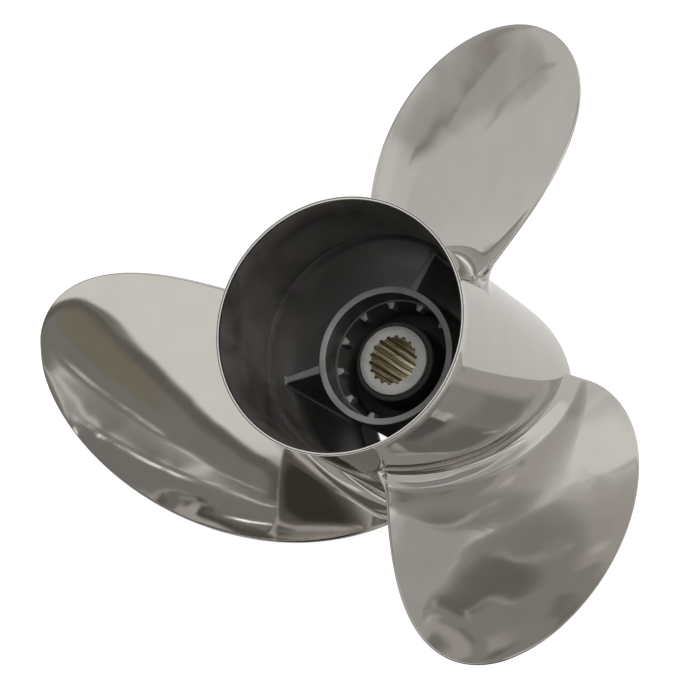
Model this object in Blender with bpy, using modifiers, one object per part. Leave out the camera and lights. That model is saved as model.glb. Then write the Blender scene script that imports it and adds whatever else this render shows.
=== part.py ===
"""Boat propeller with three left-hand blades and a hollow hub that carries the exhaust.

The shaft runs along Z. The flat front end of the hub stands on z = 0 and the open
rear end, with its flared ring, is at the top. Lengths are in metres, angles in
radians unless a name says degrees.
"""
import math

import bmesh
import bpy

NAME = "boat_propeller"

# Room left between two solids that touch on the real propeller
GAP = 0.0003
# Points closer than this count as one
SAME_PLACE = 0.00001
# Edges that bend less than this are shaded smooth
SMOOTH_DEG = 35

# Outer hub
HUB_LENGTH = 0.1725
HUB_FRONT_RADIUS = 0.0602
HUB_FRONT_BAND = 0.017
HUB_SEAM_RADIUS = 0.0577
HUB_BORE_RADIUS = 0.0552
HUB_REAR_BORE_RADIUS = 0.0567
BORE_STEP_Z = 0.124
BORE_STEP_LENGTH = 0.0024
FRONT_LIP_RADIUS = 0.0472
FRONT_LIP_LENGTH = 0.0036
FRONT_EDGE = 0.0012

# Flared ring at the rear end of the hub
FLARE_LENGTH = 0.0163
RIM_RADIUS = 0.0610
RIM_BORE_RADIUS = 0.0600
FLARE_CURVE = 2.2
FLARE_STEPS = 7

# Inner hub tube
TUBE_FRONT_Z = 0.0042
TUBE_REAR_Z = 0.1117
TUBE_FRONT_RADIUS = 0.0333
TUBE_REAR_RADIUS = 0.03395
TUBE_MOUTH_RADIUS = 0.0308
TUBE_BORE_RADIUS = 0.0298
TUBE_STEP_Z = 0.098
TUBE_CHAMFER = 0.0005

# Ribs between the tube and the hub
RIB_ANGLE_DEG = 16.0
RIB_INNER_THICKNESS = 0.0048
RIB_OUTER_THICKNESS = 0.0034
RIB_FRONT_Z = 0.0048
RIB_INNER_REAR_Z = 0.1112
RIB_OUTER_REAR_Z = 0.1045
RIB_ARC_STEPS = 4

# Keys in the bore of the tube
KEY_COUNT = 12
KEY_ANGLE_DEG = 14.0
KEY_FRONT_Z = 0.0915
KEY_REAR_Z = 0.0978
KEY_TIP_RADIUS = 0.0267
KEY_BASE_WIDTH = 0.0044
KEY_TIP_WIDTH = 0.0020

# Rubber bush
BUSH_RADIUS = 0.0295
BUSH_SLOPE = 0.0025
BUSH_FRONT_Z = 0.022
BUSH_REAR_Z = 0.080
COLLAR_RADIUS = 0.0199
COLLAR_FRONT_Z = 0.014
COLLAR_REAR_Z = 0.0990

# Splined sleeve
SLEEVE_RADIUS = 0.0169
SLEEVE_FRONT_Z = 0.009
SLEEVE_REAR_Z = 0.1010
SLEEVE_CHAMFER = 0.0006
TEETH = 18
TOOTH_ANGLE_DEG = -39.0
TOOTH_TIP_RADIUS = 0.0110
TOOTH_ROOT_RADIUS = 0.0123
TOOTH_TIP_SHARE = 0.42
TOOTH_ROOT_SHARE = 0.66
COUNTERBORE_RADIUS = 0.0135
COUNTERBORE_DEPTH = 0.018
MOUTH_CHAMFER = 0.0004

# Blades: the sections follow one another from the root radius to the tip
BLADES = 3
BLADE_ANGLE_DEG = -90.0
TIP_RADIUS = 0.1686
ROOT_RADIUS = 0.0550
# Each group of values is a polynomial in t, which is 0 at the root and 1 at the tip
HALF_CHORD = (0.0474, 0.0638, -0.0172, -0.0066)
SKEW = (0.0, -0.239, -0.296, 0.128)
MID_HEIGHT = (0.0592, 0.0682, 0.0165)
PITCH = (0.0650, 0.0111, -0.0199)
ROOT_THICKNESS = 0.0092
TIP_THICKNESS = 0.0026
THICKNESS_CURVE = 0.8
TRAILING_EDGE = 0.0024
LEADING_EDGE = 0.0014
NOSE = 0.0008
CAMBER_SHARE = 0.026
CUP_DEPTH = 0.0018
CUP_LENGTH = 0.010
FACE_SHARE = 0.35
# The fillet at the hub, whose size falls to this share at the leading edge
FILLET = 0.0060
FRONT_FILLET_SHARE = 0.5
FILLET_SHARES = (0.04, 0.15, 0.4, 1.0)
FILLET_SINK = 0.0006
# How far the root reaches under the hub's surface before it is cut to fit
ROOT_DEPTHS = (0.0035, 0.0012)
BLADE_STEPS = 15
BLADE_STEP_CURVE = 0.9
CHORD_STEPS = 14
NOSE_STEPS = 3
LAST_STATION = 0.985
TIP_STATIONS = (0.9955, 0.9998)

# Sides of the turned pieces, a multiple of blades, ribs and keys
SIDES = 72

FULL_TURN = 2 * math.pi


def clear_scene():
    """Removes what a new file holds."""
    for thing in list(bpy.data.objects):
        bpy.data.objects.remove(thing, do_unlink=True)


def make_collection(name):
    """Makes a collection in the scene."""
    collection = bpy.data.collections.new(name)
    bpy.context.scene.collection.children.link(collection)
    return collection


def make_material(name, colour, roughness, metallic):
    """Makes a Principled material."""
    material = bpy.data.materials.new(name)
    material.use_nodes = True
    shader = material.node_tree.nodes["Principled BSDF"]
    shader.inputs["Base Color"].default_value = (*colour, 1.0)
    shader.inputs["Roughness"].default_value = roughness
    shader.inputs["Metallic"].default_value = metallic
    material.diffuse_color = (*colour, 1.0)
    return material


def add_object(name, mesh, collection, material=None):
    """Links a mesh as an object, smooth with sharp edges kept."""
    thing = bpy.data.objects.new(name, mesh)
    collection.objects.link(thing)
    if material is not None and not mesh.materials:
        mesh.materials.append(material)
    mesh.shade_smooth()
    mesh.set_sharp_from_angle(angle=math.radians(SMOOTH_DEG))
    return thing


def make_cutter(thing):
    """Marks an object as a cutter, which isn't part of the propeller."""
    thing.hide_render = True
    thing.display_type = "WIRE"
    return thing


def frozen_mesh(thing, name):
    """Returns the object's mesh with its modifiers applied, and removes the object."""
    graph = bpy.context.evaluated_depsgraph_get()
    mesh = bpy.data.meshes.new_from_object(thing.evaluated_get(graph))
    mesh.name = name
    mesh.transform(thing.matrix_world)
    bpy.data.objects.remove(thing, do_unlink=True)
    return mesh


def turned(name, profile, collection, material=None):
    """Turns a closed profile of (radius, height) points round the shaft."""
    mesh = bpy.data.meshes.new(name)
    points = [(radius, 0.0, height) for radius, height in profile]
    edges = [(i, (i + 1) % len(points)) for i in range(len(points))]
    mesh.from_pydata(points, edges, [])
    thing = add_object(name, mesh, collection, material)
    screw = thing.modifiers.new("turn", "SCREW")
    screw.axis = "Z"
    screw.angle = FULL_TURN
    screw.steps = SIDES
    screw.render_steps = SIDES
    screw.use_merge_vertices = True
    screw.merge_threshold = SAME_PLACE
    return thing


def turned_bar(name, profile, collection, material=None):
    """Turns an open profile that starts and ends on the shaft."""
    thing = turned(name, profile, collection, material)
    mesh = thing.data
    bm = bmesh.new()
    bm.from_mesh(mesh)
    on_axis = [e for e in bm.edges if max(abs(v.co.x) for v in e.verts) < SAME_PLACE]
    bmesh.ops.delete(bm, geom=on_axis, context="EDGES")
    bm.to_mesh(mesh)
    bm.free()
    return thing


def prism(name, outline, low, high, collection, material=None):
    """Raises a flat outline of (x, y) points from one height to another."""
    bm = bmesh.new()
    base = bm.faces.new([bm.verts.new((x, y, low)) for x, y in outline])
    raised = bmesh.ops.extrude_face_region(bm, geom=[base])
    for item in raised["geom"]:
        if isinstance(item, bmesh.types.BMVert):
            item.co.z = high
    bmesh.ops.recalc_face_normals(bm, faces=bm.faces)
    mesh = bpy.data.meshes.new(name)
    bm.to_mesh(mesh)
    bm.free()
    return add_object(name, mesh, collection, material)


def cut(thing, cutter):
    """Takes one solid away from another."""
    boolean = thing.modifiers.new("cut", "BOOLEAN")
    boolean.operation = "DIFFERENCE"
    boolean.object = cutter
    boolean.solver = "EXACT"


def polar(radius, angle):
    """Returns x and y of a point at a radius and an angle."""
    return radius * math.cos(angle), radius * math.sin(angle)


def polynomial(values, t):
    """Returns the sum of values[n] times t to the power n."""
    return sum(value * t**n for n, value in enumerate(values))


def blend(start, end, share):
    """Returns the value that lies a share of the way from start to end."""
    return start + (end - start) * share


def hub_radius(height):
    """Returns the hub's outer radius: a straight band in front, then a slow taper."""
    taper_length = HUB_LENGTH - FLARE_LENGTH - HUB_FRONT_BAND
    share = max(0.0, height - HUB_FRONT_BAND) / taper_length
    return blend(HUB_FRONT_RADIUS, HUB_SEAM_RADIUS, share)


def tube_radius(height):
    """Returns the inner tube's outer radius."""
    share = (height - TUBE_FRONT_Z) / (TUBE_REAR_Z - TUBE_FRONT_Z)
    return blend(TUBE_FRONT_RADIUS, TUBE_REAR_RADIUS, share)


def make_hub(collection, material):
    """Makes the outer hub, with its front lip and the step in its bore."""
    seam = HUB_LENGTH - FLARE_LENGTH
    profile = [
        (hub_radius(seam), seam),
        (hub_radius(HUB_FRONT_BAND), HUB_FRONT_BAND),
        (HUB_FRONT_RADIUS, FRONT_EDGE),
        (HUB_FRONT_RADIUS - FRONT_EDGE, 0.0),
        (FRONT_LIP_RADIUS, 0.0),
        (FRONT_LIP_RADIUS, FRONT_LIP_LENGTH),
        (HUB_BORE_RADIUS, FRONT_LIP_LENGTH),
        (HUB_BORE_RADIUS, BORE_STEP_Z - BORE_STEP_LENGTH),
        (HUB_REAR_BORE_RADIUS, BORE_STEP_Z),
        (HUB_REAR_BORE_RADIUS, seam),
    ]
    return turned("hub_barrel", profile, collection, material)


def flare_radius(share, seam_radius, rim_radius):
    """Returns a radius along the flare, which opens faster towards the rim."""
    return blend(seam_radius, rim_radius, share**FLARE_CURVE)


def make_flare(collection, material):
    """Makes the flared ring that ends the hub."""
    low = HUB_LENGTH - FLARE_LENGTH + GAP
    shares = [i / FLARE_STEPS for i in range(FLARE_STEPS + 1)]
    outer = []
    inner = []
    for share in shares:
        height = blend(low, HUB_LENGTH, share)
        outer.append((flare_radius(share, HUB_SEAM_RADIUS, RIM_RADIUS), height))
        inner.append((flare_radius(share, HUB_REAR_BORE_RADIUS, RIM_BORE_RADIUS), height))
    return turned("flare_ring", outer[::-1] + inner, collection, material)


def make_tube(collection, material):
    """Makes the inner hub tube, wider for a short way behind the keys."""
    profile = [
        (TUBE_REAR_RADIUS - TUBE_CHAMFER, TUBE_REAR_Z),
        (TUBE_REAR_RADIUS, TUBE_REAR_Z - TUBE_CHAMFER),
        (TUBE_FRONT_RADIUS, TUBE_FRONT_Z + TUBE_CHAMFER),
        (TUBE_FRONT_RADIUS - TUBE_CHAMFER, TUBE_FRONT_Z),
        (TUBE_BORE_RADIUS, TUBE_FRONT_Z),
        (TUBE_BORE_RADIUS, TUBE_STEP_Z),
        (TUBE_MOUTH_RADIUS, TUBE_STEP_Z + TUBE_CHAMFER),
        (TUBE_MOUTH_RADIUS, TUBE_REAR_Z - TUBE_CHAMFER),
        (TUBE_MOUTH_RADIUS + TUBE_CHAMFER, TUBE_REAR_Z),
    ]
    return turned("inner_hub_tube", profile, collection, material)


def rib_mesh():
    """Makes the mesh of a rib along +X, thinner and further forward at the hub wall."""
    bm = bmesh.new()
    rings = []
    for is_rear in (False, True):
        inner_z = RIB_INNER_REAR_Z if is_rear else RIB_FRONT_Z
        outer_z = RIB_OUTER_REAR_Z if is_rear else RIB_FRONT_Z
        inner = tube_radius(inner_z) + GAP
        outer = HUB_BORE_RADIUS - GAP
        ring = []
        for i in range(RIB_ARC_STEPS + 1):
            angle = blend(-0.5, 0.5, i / RIB_ARC_STEPS) * RIB_OUTER_THICKNESS / outer
            ring.append(bm.verts.new((*polar(outer, angle), outer_z)))
        for i in range(RIB_ARC_STEPS + 1):
            angle = blend(0.5, -0.5, i / RIB_ARC_STEPS) * RIB_INNER_THICKNESS / inner
            ring.append(bm.verts.new((*polar(inner, angle), inner_z)))
        rings.append(ring)
    bridge_rings(bm, rings)
    mesh = bpy.data.meshes.new("rib")
    bm.to_mesh(mesh)
    bm.free()
    return mesh


def bridge_rings(bm, rings):
    """Joins rings of points into one closed skin with a face at each end."""
    for lower, upper in zip(rings, rings[1:]):
        for i in range(len(lower)):
            j = (i + 1) % len(lower)
            bm.faces.new((lower[i], lower[j], upper[j], upper[i]))
    bm.faces.new(rings[0][::-1])
    bm.faces.new(rings[-1])
    bmesh.ops.recalc_face_normals(bm, faces=bm.faces)


def place_copies(label, mesh, count, first_angle, collection, material, digits=1):
    """Places copies of a mesh round the shaft, each its own object."""
    for i in range(count):
        name = f"{label}_{i + 1:0{digits}d}"
        thing = add_object(name, mesh, collection, material)
        thing.rotation_euler.z = first_angle + i * FULL_TURN / count


def key_outline():
    """Returns the outline of a key along +X, wide at the tube wall and narrow inside."""
    base = TUBE_BORE_RADIUS - GAP
    half_base = KEY_BASE_WIDTH / base / 2
    half_tip = KEY_TIP_WIDTH / KEY_TIP_RADIUS / 2
    outline = [polar(base, half_base * side) for side in (-1, -0.5, 0, 0.5, 1)]
    outline += [polar(KEY_TIP_RADIUS, half_tip * side) for side in (1, 0, -1)]
    return outline


def make_bush(collection, material):
    """Makes the rubber bush, with a collar round the sleeve at both ends."""
    bore = SLEEVE_RADIUS + GAP
    profile = [
        (COLLAR_RADIUS, COLLAR_REAR_Z),
        (COLLAR_RADIUS, BUSH_REAR_Z),
        (BUSH_RADIUS, BUSH_REAR_Z - BUSH_SLOPE),
        (BUSH_RADIUS, BUSH_FRONT_Z),
        (COLLAR_RADIUS, BUSH_FRONT_Z),
        (COLLAR_RADIUS, COLLAR_FRONT_Z),
        (bore, COLLAR_FRONT_Z),
        (bore, COLLAR_REAR_Z),
    ]
    return turned("rubber_bush", profile, collection, material)


def spline_outline():
    """Returns the outline of the splined hole: each tooth has a flat tip and root."""
    outline = []
    pitch = FULL_TURN / TEETH
    for i in range(TEETH):
        middle = math.radians(TOOTH_ANGLE_DEG) + i * pitch
        for radius, side in (
            (TOOTH_ROOT_RADIUS, -TOOTH_ROOT_SHARE / 2),
            (TOOTH_TIP_RADIUS, -TOOTH_TIP_SHARE / 2),
            (TOOTH_TIP_RADIUS, TOOTH_TIP_SHARE / 2),
            (TOOTH_ROOT_RADIUS, TOOTH_ROOT_SHARE / 2),
        ):
            outline.append(polar(radius, middle + side * pitch))
    return outline


def make_sleeve(collection, cutters, material):
    """Makes the sleeve, splined behind and plain at its front end."""
    low, high = SLEEVE_FRONT_Z, SLEEVE_REAR_Z
    profile = [
        (0.0, high),
        (SLEEVE_RADIUS - SLEEVE_CHAMFER, high),
        (SLEEVE_RADIUS, high - SLEEVE_CHAMFER),
        (SLEEVE_RADIUS, low + SLEEVE_CHAMFER),
        (SLEEVE_RADIUS - SLEEVE_CHAMFER, low),
        (0.0, low),
    ]
    sleeve = turned_bar("splined_sleeve", profile, collection, material)
    past = TOOTH_ROOT_RADIUS
    spline = prism("spline_cutter", spline_outline(), low - past, high + past, cutters)
    bores = [
        (0.0, high + past),
        (TOOTH_TIP_RADIUS + MOUTH_CHAMFER + past, high + past),
        (TOOTH_TIP_RADIUS, high - MOUTH_CHAMFER),
        (TOOTH_TIP_RADIUS - GAP, high - past),
        (TOOTH_TIP_RADIUS - GAP, low + COUNTERBORE_DEPTH + past),
        (COUNTERBORE_RADIUS, low + COUNTERBORE_DEPTH),
        (COUNTERBORE_RADIUS, low - past),
        (0.0, low - past),
    ]
    plain = turned_bar("bore_cutter", bores, cutters)
    for cutter in (spline, plain):
        cut(sleeve, make_cutter(cutter))
    return sleeve


def chord_stations(half_chord, nose):
    """Returns places across the chord, -1 behind to 1 in front, close at both noses."""
    ends = [(1 - math.cos(i / NOSE_STEPS * math.pi / 2)) * nose for i in range(NOSE_STEPS)]
    start = [-1 + e / half_chord for e in ends]
    first = -1 + nose / half_chord
    middle = [blend(first, -first, i / CHORD_STEPS) for i in range(CHORD_STEPS + 1)]
    return start + middle + [-s for s in start[::-1]]


def section(radius, t, growth):
    """Returns the closed outline of a blade section, as points on a cylinder.

    growth makes the section bigger for the fillet at the hub: all of it at the
    trailing edge, a share of it at the leading edge.
    """
    plain_half = polynomial(HALF_CHORD, t) * math.sqrt(1 - t * t)
    half_chord = plain_half + growth * (1 + FRONT_FILLET_SHARE) / 2
    shift = growth * (FRONT_FILLET_SHARE - 1) / 2
    middle = polynomial(SKEW, t)
    pitch = polynomial(PITCH, t)
    height = polynomial(MID_HEIGHT, t)
    thickest = blend(ROOT_THICKNESS, TIP_THICKNESS, t**THICKNESS_CURVE)
    nose = min(NOSE + growth, half_chord / 2)
    slope = math.hypot(radius, pitch)
    face = []
    back = []
    for c in chord_stations(half_chord, nose):
        edge = blend(TRAILING_EDGE, LEADING_EDGE, (1 + c) / 2)
        from_end = (1 - abs(c)) * half_chord
        rounding = math.sqrt(max(0.0, 1 - max(0.0, 1 - from_end / nose) ** 2))
        thickness = edge + max(0.0, thickest - edge) * (1 - c * c)
        from_rear = (1 + c) * half_chord
        camber = -2 * CAMBER_SHARE * half_chord * (1 - c * c)
        cup = -CUP_DEPTH * (1 - math.exp(-from_rear / CUP_LENGTH)) * (1 - c) / 2
        centre = (camber + cup) * math.sqrt(1 - t * t) + (FACE_SHARE - 0.5) * thickness
        half = (thickness / 2 + growth * blend(1, FRONT_FILLET_SHARE, (1 + c) / 2)) * rounding
        along = c * half_chord + shift
        for side, offset in ((face, centre + half), (back, centre - half)):
            angle = middle + along / radius + pitch / slope * offset / radius
            z = height - pitch * along / radius + radius / slope * offset
            side.append((*polar(radius, angle), z))
    return face + back[-2:0:-1]


def blade_stations():
    """Returns the radius and the fillet growth of each section of a blade."""
    hub = HUB_FRONT_RADIUS
    stations = [(hub - depth, FILLET) for depth in ROOT_DEPTHS]
    for share in FILLET_SHARES:
        growth = FILLET * (1 - math.sqrt(1 - (1 - share) ** 2))
        stations.append((hub - FILLET_SINK + FILLET * share, growth))
    first = (stations[-1][0] - ROOT_RADIUS) / (TIP_RADIUS - ROOT_RADIUS)
    for i in range(1, BLADE_STEPS + 1):
        share = (i / BLADE_STEPS) ** BLADE_STEP_CURVE
        turn = blend(math.asin(first), math.asin(LAST_STATION), share)
        stations.append((blend(ROOT_RADIUS, TIP_RADIUS, math.sin(turn)), 0.0))
    for t in TIP_STATIONS:
        stations.append((blend(ROOT_RADIUS, TIP_RADIUS, t), 0.0))
    return stations


def blade_mesh(collection, hub_cutter):
    """Makes the first blade's mesh, with its root cut to the hub's outside."""
    bm = bmesh.new()
    rings = []
    for radius, growth in blade_stations():
        t = (radius - ROOT_RADIUS) / (TIP_RADIUS - ROOT_RADIUS)
        rings.append([bm.verts.new(point) for point in section(radius, t, growth)])
    bridge_rings(bm, rings)
    mesh = bpy.data.meshes.new("blade_blank")
    bm.to_mesh(mesh)
    bm.free()
    blank = add_object("blade_blank", mesh, collection)
    blank.rotation_euler.z = math.radians(BLADE_ANGLE_DEG)
    cut(blank, hub_cutter)
    bpy.context.view_layer.update()
    return frozen_mesh(blank, "blade")


def make_hub_cutter(cutters):
    """Makes the solid that leaves a gap between the hub's outside and the blades."""
    seam = HUB_LENGTH - FLARE_LENGTH
    profile = [
        (0.0, HUB_LENGTH),
        (hub_radius(seam) + GAP, HUB_LENGTH),
        (hub_radius(seam) + GAP, seam),
        (HUB_FRONT_RADIUS + GAP, HUB_FRONT_BAND),
        (HUB_FRONT_RADIUS + GAP, -HUB_FRONT_BAND),
        (0.0, -HUB_FRONT_BAND),
    ]
    return make_cutter(turned_bar("hub_cutter", profile, cutters))


def main():
    """Builds the propeller."""
    clear_scene()
    parts = make_collection(NAME)
    cutters = make_collection("cutters")
    polished = make_material("polished_steel", (0.62, 0.60, 0.57), 0.12, 1.0)
    cast = make_material("cast_steel", (0.10, 0.10, 0.105), 0.55, 0.7)
    turned_steel = make_material("turned_steel", (0.40, 0.39, 0.38), 0.45, 0.9)
    rubber = make_material("black_rubber", (0.02, 0.02, 0.021), 0.7, 0.0)
    brass = make_material("brass", (0.55, 0.47, 0.30), 0.35, 1.0)

    make_hub(parts, polished)
    make_flare(parts, polished)
    make_tube(parts, turned_steel)
    blade = blade_mesh(parts, make_hub_cutter(cutters))
    place_copies("blade", blade, BLADES, 0.0, parts, polished)
    place_copies("rib", rib_mesh(), BLADES, math.radians(RIB_ANGLE_DEG), parts, cast)
    key = prism("key", key_outline(), KEY_FRONT_Z, KEY_REAR_Z, parts)
    key_mesh = frozen_mesh(key, "key")
    place_copies("key", key_mesh, KEY_COUNT, math.radians(KEY_ANGLE_DEG), parts, cast, 2)
    make_bush(parts, rubber)
    make_sleeve(parts, cutters, brass)


main()
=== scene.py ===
"""Looks of a boat propeller: polished hub and blades, dark cast inside, bush and sleeve.

The propeller stands on the front end of its hub, with its open rear end up. The
camera looks down into that end from the side of the first blade. Metres and
radians, unless a name says millimetres or degrees.
"""
import math
from collections import namedtuple

import bmesh
import bpy
import numpy as np
from mathutils import Matrix, Vector


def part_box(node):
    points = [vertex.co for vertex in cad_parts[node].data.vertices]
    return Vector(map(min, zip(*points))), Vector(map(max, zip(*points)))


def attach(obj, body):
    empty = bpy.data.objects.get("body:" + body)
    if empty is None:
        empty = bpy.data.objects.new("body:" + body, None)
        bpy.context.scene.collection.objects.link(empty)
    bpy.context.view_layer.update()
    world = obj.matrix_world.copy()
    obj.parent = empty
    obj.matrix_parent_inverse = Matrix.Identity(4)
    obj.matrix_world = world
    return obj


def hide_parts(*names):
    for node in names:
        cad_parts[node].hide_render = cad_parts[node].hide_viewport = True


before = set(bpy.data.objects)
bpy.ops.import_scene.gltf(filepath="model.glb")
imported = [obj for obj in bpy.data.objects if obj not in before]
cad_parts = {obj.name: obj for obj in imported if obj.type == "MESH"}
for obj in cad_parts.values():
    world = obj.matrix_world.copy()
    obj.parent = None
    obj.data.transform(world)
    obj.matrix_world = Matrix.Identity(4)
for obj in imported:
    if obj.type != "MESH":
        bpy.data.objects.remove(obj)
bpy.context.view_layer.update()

MM = 0.001
FULL_TURN = 2 * math.pi
# The longest side that a turned profile has, and how near points are joined
LONGEST_SIDE = 3 * MM
WELD_REACH = 0.002 * MM

# Heights and widths read from the frame
_, hub_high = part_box("hub_barrel")
_, rim_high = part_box("flare_ring")
tube_low, tube_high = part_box("inner_hub_tube")
bush_low, bush_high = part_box("rubber_bush")
sleeve_low, sleeve_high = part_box("splined_sleeve")
key_low, key_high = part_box("key_01")

HUB_LENGTH = rim_high.z
SEAM_Z = hub_high.z
HUB_FRONT_RADIUS = hub_high.x
RIM_RADIUS = rim_high.x
TUBE_REAR_Z = tube_high.z
TUBE_FRONT_Z = tube_low.z
SLEEVE_RADIUS = sleeve_high.x
SLEEVE_REAR_Z = sleeve_high.z
SLEEVE_FRONT_Z = sleeve_low.z
COLLAR_REAR_Z = bush_high.z
COLLAR_FRONT_Z = bush_low.z
KEY_REAR_Z = key_high.z
KEY_FRONT_Z = key_low.z

# Outer hub
HUB_FRONT_BAND = 17 * MM
HUB_SEAM_RADIUS = 57.7 * MM
HUB_BORE_RADIUS = 55.2 * MM
HUB_REAR_BORE_RADIUS = 56.7 * MM
BORE_STEP_Z = 124 * MM
FRONT_LIP_RADIUS = 47.2 * MM
FRONT_LIP_LENGTH = 3.6 * MM
RIM_THICKNESS = 1.4 * MM
RIM_GROOVE_WIDTH = 0.45 * MM
RIM_GROOVE_DEPTH = 0.2 * MM
RIM_GROOVE_INSET = 0.5 * MM
RIM_ROUNDING = 0.25 * MM
GROOVE_ROUNDING = 0.06 * MM
GROOVE_FLOOR_ROUNDING = 0.04 * MM
FRONT_EDGE_ROUNDING = 1.2 * MM
FLARE_CURVE = 2.2
FLARE_STEPS = 26
HUB_SIDES = 288

# Inner tube, keys, bush and sleeve
TUBE_FRONT_RADIUS = 33.3 * MM
TUBE_REAR_RADIUS = 33.95 * MM
TUBE_MOUTH_RADIUS = 30.8 * MM
TUBE_BORE_RADIUS = 29.8 * MM
TUBE_STEP_Z = 98 * MM
KEY_COUNT = 12
KEY_ANGLE_DEG = 14.0
KEY_TIP_RADIUS = 26.7 * MM
KEY_BASE_WIDTH = 4.6 * MM
KEY_TIP_WIDTH = 2.0 * MM
KEY_SUNK = 0.3 * MM
KEY_ROUNDING = 0.5 * MM
# The rear end of a key is rounded over: distance from its end, and how much it shrinks
KEY_END_STEPS = ((0.5 * MM, 0.0), (0.2 * MM, 0.1 * MM), (0.0, 0.35 * MM))
TUBE_SIDES = 240
TURNED_FACE_DEPTH = 0.5 * MM
# Faces whose normal has at least this much of +Z look to the rear, towards the lamps, and get the
# lighter turned finish: painted light on the ribs, the keys and the hub's front lip
REAR_FACING = 0.7
KEY_REAR_FACING = 0.4
BUSH_RADIUS = 29.5 * MM
BUSH_FRONT_Z = 22 * MM
BUSH_REAR_Z = 80 * MM
COLLAR_RADIUS = 19.9 * MM
BUSH_SIDES = 144
TEETH = 18
SIDES_PER_TOOTH = 24
# Shares of the spacing: half of a tooth's flat tip, and where its flank ends
HALF_TOOTH_TIP = 0.21
HALF_TOOTH_FOOT = 0.33
TOOTH_ANGLE_DEG = -39.0
TOOTH_TIP_RADIUS = 11.0 * MM
TOOTH_ROOT_RADIUS = 12.3 * MM
MOUTH_CHAMFER = 0.4 * MM
COUNTERBORE_RADIUS = 13.5 * MM
COUNTERBORE_DEPTH = 18 * MM
SLEEVE_CHAMFER = 0.7 * MM

# Ribs
RIBS = 3
RIB_ANGLE_DEG = 16.0
RIB_INNER_THICKNESS = 4.8 * MM
RIB_OUTER_THICKNESS = 3.4 * MM
RIB_FRONT_Z = FRONT_LIP_LENGTH + 0.1 * MM
RIB_INNER_REAR_Z = 111.2 * MM
RIB_OUTER_REAR_Z = 104.5 * MM
RIB_SUNK = 0.25 * MM
RIB_FILLET = 2.2 * MM
RIB_REAR_ROUNDING = 1.5 * MM
RIB_FRONT_ROUNDING = 1.0 * MM
RIB_STEPS = 26

# Blades: polynomials in t, which is 0 at the root radius and 1 at the tip. The skew is
# an angle, and the pitch is a rise per radian.
BLADES = 3
BLADE_ANGLE_DEG = -90.0
TIP_RADIUS = 168.4 * MM
ROOT_RADIUS = 55.0 * MM
HALF_CHORD = (0.0474, 0.0638, -0.0172, -0.0066)
SKEW = (0.0, -0.239, -0.296, 0.128)
MID_HEIGHT = (0.0592, 0.0682, 0.0165)
PITCH = (0.0650, 0.0111, -0.0199)
ROOT_THICKNESS = 9.2 * MM
TIP_THICKNESS = 2.6 * MM
THINNING = 0.8
TRAILING_EDGE = 2.4 * MM
LEADING_EDGE = 1.4 * MM
NOSE = 0.8 * MM
CAMBER_SHARE = 0.026
CUP_DEPTH = 1.8 * MM
CUP_LENGTH = 10 * MM
# How square the edges are
ROUND_NOSE = 2.0
TRAILING_SQUARENESS = 4.0
LEADING_SQUARENESS = ROUND_NOSE
# How much of the thickness lies on the rear side of the middle surface
FACE_SHARE = 0.35
LEAST_HALF_CHORD = 0.02 * MM
TIP_ROUNDING = 0.9 * MM
# The fillet at the hub, whose size falls to these shares at the two edges
FILLET = 9.0 * MM
FILLET_HEIGHT = 12.0 * MM
REAR_FILLET_SHARE = 0.67
FRONT_FILLET_SHARE = 0.33
# The skin starts inside the hub's wall, and the fillet ends a hair below its surface
ROOT_SUNK = 0.9 * MM
ROOT_SPREAD = 0.2 * MM
FILLET_SUNK = 0.03 * MM
# Beyond the fillet the blade leaves the hub's taper over this length
TAPER_FADE = 30 * MM
NOSE_STEPS = 7
CHORD_STEPS = 64
FILLET_STEPS = 14
SPAN_STEPS = 84
# Places gather towards the noses by the first share, and towards the root by the power
NOSE_GATHERING = 0.15
ROOT_GATHERING = 0.85

# Studio: colours of the floor, the walls and what the camera sees behind the propeller
FLOOR_COLOUR = (0.30, 0.30, 0.30)
FLOOR_GLOW = 0.9
FLOOR_HALF_WIDTH = 9.0
FLOOR_MIRRORED = (1.03, 1.02, 0.99)
WALL_COLOUR = (0.785, 0.773, 0.75)
BACKDROP_COLOUR = (0.97, 0.97, 0.97)
AMBIENT_COLOUR = (0.16, 0.16, 0.16)
# About the mean colour of the studio, as the polish sees it; the steel glows with it as a painted
# reflection
MEAN_OF_ROOM = (0.56, 0.55, 0.53)
# Name, place, size in metres and power in watts
LAMPS = (
    ("lamp_by_camera", (0.25, -0.72, 1.9), 0.7, 19),
    ("side_lamp", (1.31, -0.92, 1.78), 0.9, 68),
)
LAMP_TARGET = Vector((0, 0, 0.08))
PALE = (1.0, 0.985, 0.955)
BROWN = (1.0, 0.92, 0.82)
WARM = (1.0, 0.955, 0.91)
OLIVE = (1.0, 0.95, 0.72)
# What the polish mirrors. A card has a middle, half its width and height, a soft edge
# and a turn in degrees, then a brightness and a tint. Later cards lie over earlier ones.
Card = namedtuple("Card", "across up half_width half_height edge turn brightness tint")
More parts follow.
